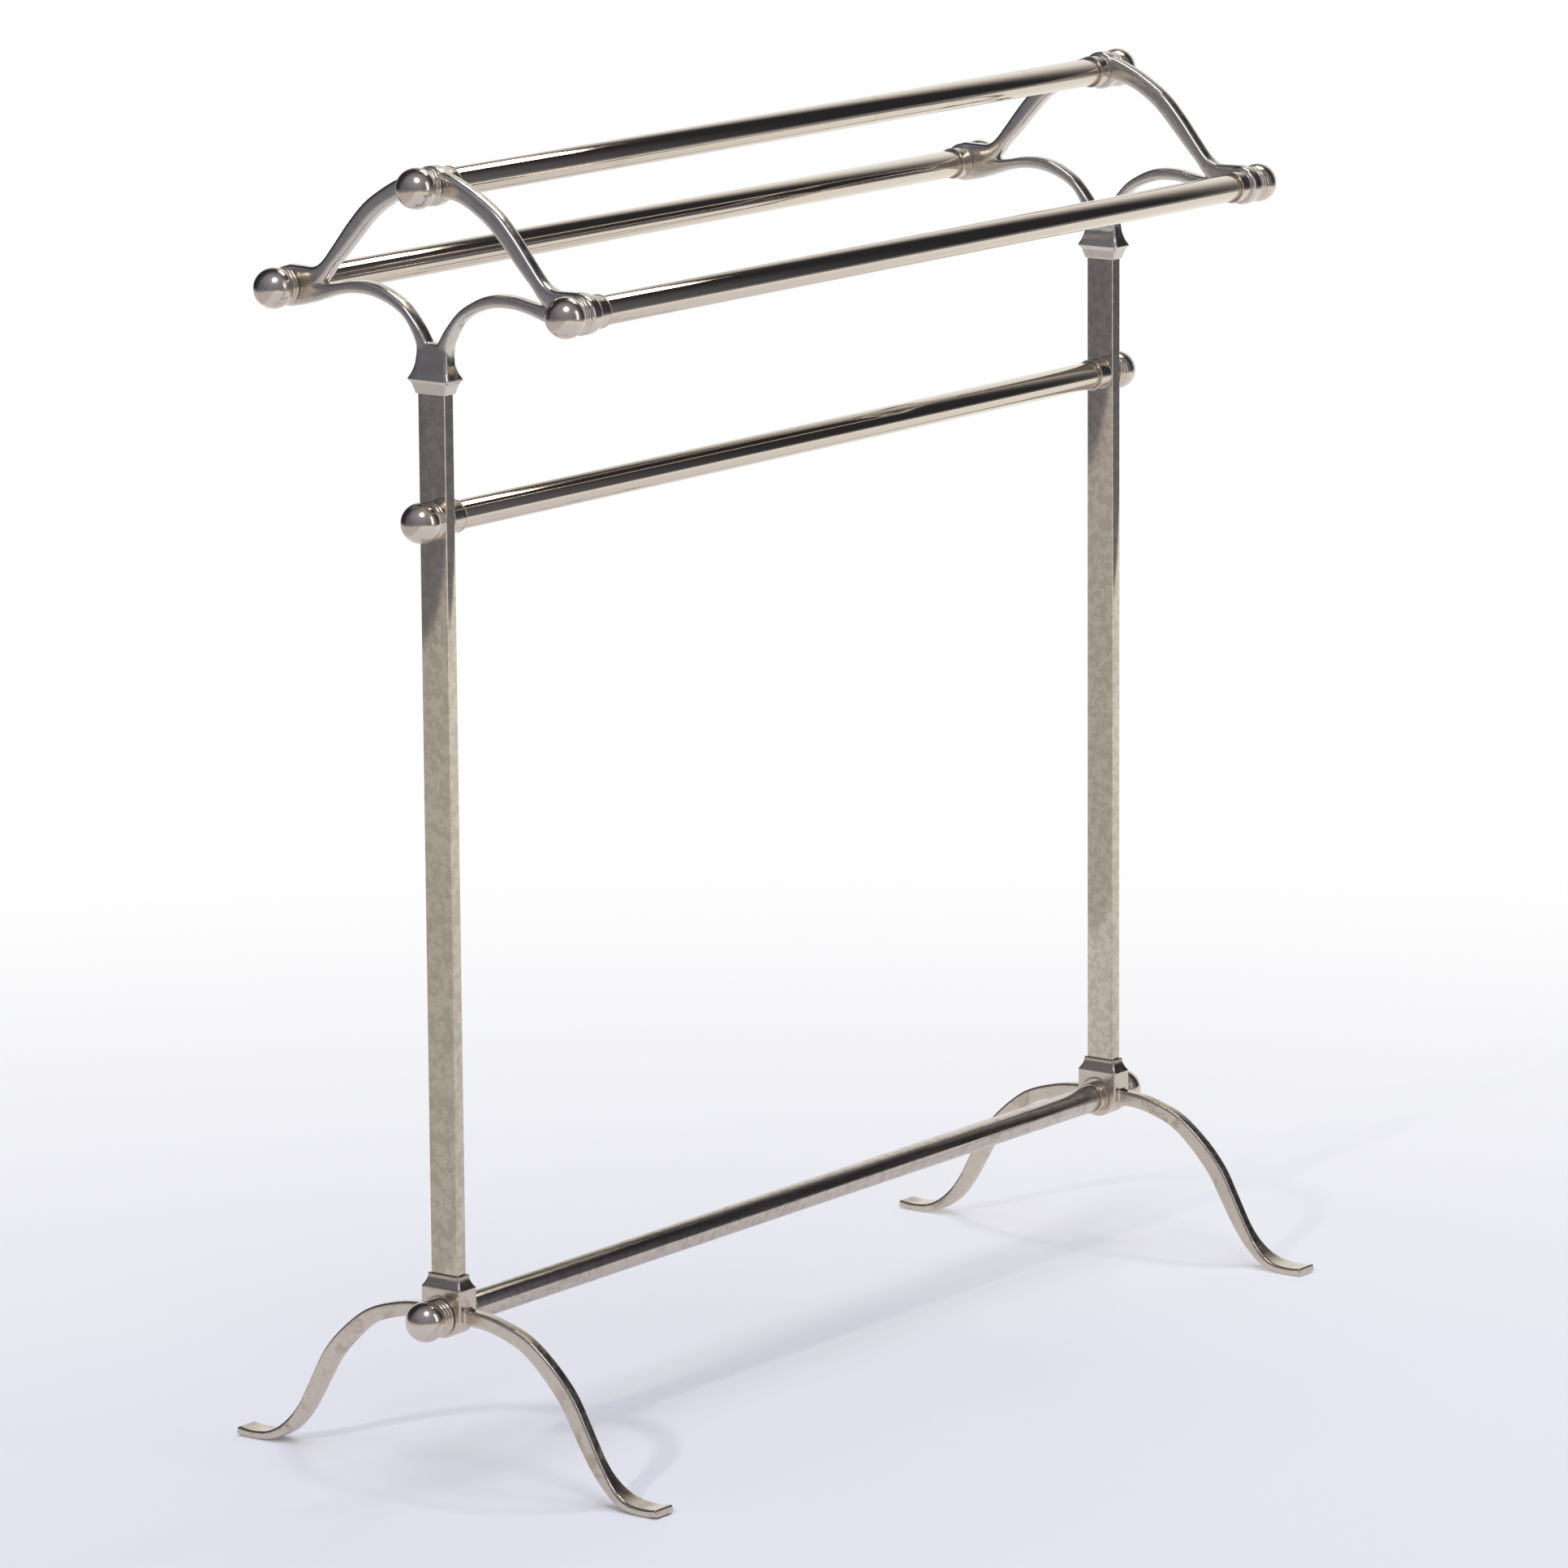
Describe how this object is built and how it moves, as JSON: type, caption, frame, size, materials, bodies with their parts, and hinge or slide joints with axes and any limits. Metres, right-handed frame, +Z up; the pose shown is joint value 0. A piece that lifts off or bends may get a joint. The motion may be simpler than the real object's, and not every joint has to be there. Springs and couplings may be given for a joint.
{
  "type": "free-standing towel stand",
  "caption": "Free-standing towel stand: two cast end frames on curved legs, joined by round tubular rails with ball finials.",
  "frame": {"origin": "on the floor under the middle of the stand", "axes": "+X along the rails towards the right end frame, +Y towards the back, +Z up"},
  "size_m": [0.828, 0.351, 0.8614],
  "materials": {
    "polished_nickel": "polished nickel plate over brass",
    "worn_nickel": "tarnished nickel plate over brass",
    "satin_nickel": "satin nickel plate over cast brass",
    "bare_brass": "machined brass, unplated"
  },
  "bodies": {
    "root": {"top_rail": "polished_nickel", "front_rail": "polished_nickel", "back_rail": "polished_nickel", "middle_rail": "polished_nickel", "stretcher_rail": "polished_nickel", "left_post": "worn_nickel", "left_head_casting": "polished_nickel", "left_base_casting": "satin_nickel", "left_post_insert": "bare_brass", "left_head_stud": "bare_brass", "left_post_tenon": "bare_brass", "left_top_finial": "polished_nickel", "left_top_ferrule": "polished_nickel", "left_top_tie_stud": "bare_brass", "left_top_rail_plug": "bare_brass", "left_front_finial": "polished_nickel", "left_front_ferrule": "polished_nickel", "left_front_tie_stud": "bare_brass", "left_front_rail_plug": "bare_brass", "left_back_finial": "polished_nickel", "left_back_ferrule": "polished_nickel", "left_back_tie_stud": "bare_brass", "left_back_rail_plug": "bare_brass", "left_middle_finial": "polished_nickel", "left_middle_ferrule": "polished_nickel", "left_middle_tie_stud": "bare_brass", "left_middle_rail_plug": "bare_brass", "left_stretcher_finial": "polished_nickel", "left_stretcher_ferrule": "polished_nickel", "left_stretcher_tie_stud": "bare_brass", "left_stretcher_rail_plug": "bare_brass", "right_post": "worn_nickel", "right_head_casting": "polished_nickel", "right_base_casting": "satin_nickel", "right_post_insert": "bare_brass", "right_head_stud": "bare_brass", "right_post_tenon": "bare_brass", "right_top_finial": "polished_nickel", "right_top_ferrule": "polished_nickel", "right_top_tie_stud": "bare_brass", "right_top_rail_plug": "bare_brass", "right_front_finial": "polished_nickel", "right_front_ferrule": "polished_nickel", "right_front_tie_stud": "bare_brass", "right_front_rail_plug": "bare_brass", "right_back_finial": "polished_nickel", "right_back_ferrule": "polished_nickel", "right_back_tie_stud": "bare_brass", "right_back_rail_plug": "bare_brass", "right_middle_finial": "polished_nickel", "right_middle_ferrule": "polished_nickel", "right_middle_tie_stud": "bare_brass", "right_middle_rail_plug": "bare_brass", "right_stretcher_finial": "polished_nickel", "right_stretcher_ferrule": "polished_nickel", "right_stretcher_tie_stud": "bare_brass", "right_stretcher_rail_plug": "bare_brass"}
  },
  "joints": []
}
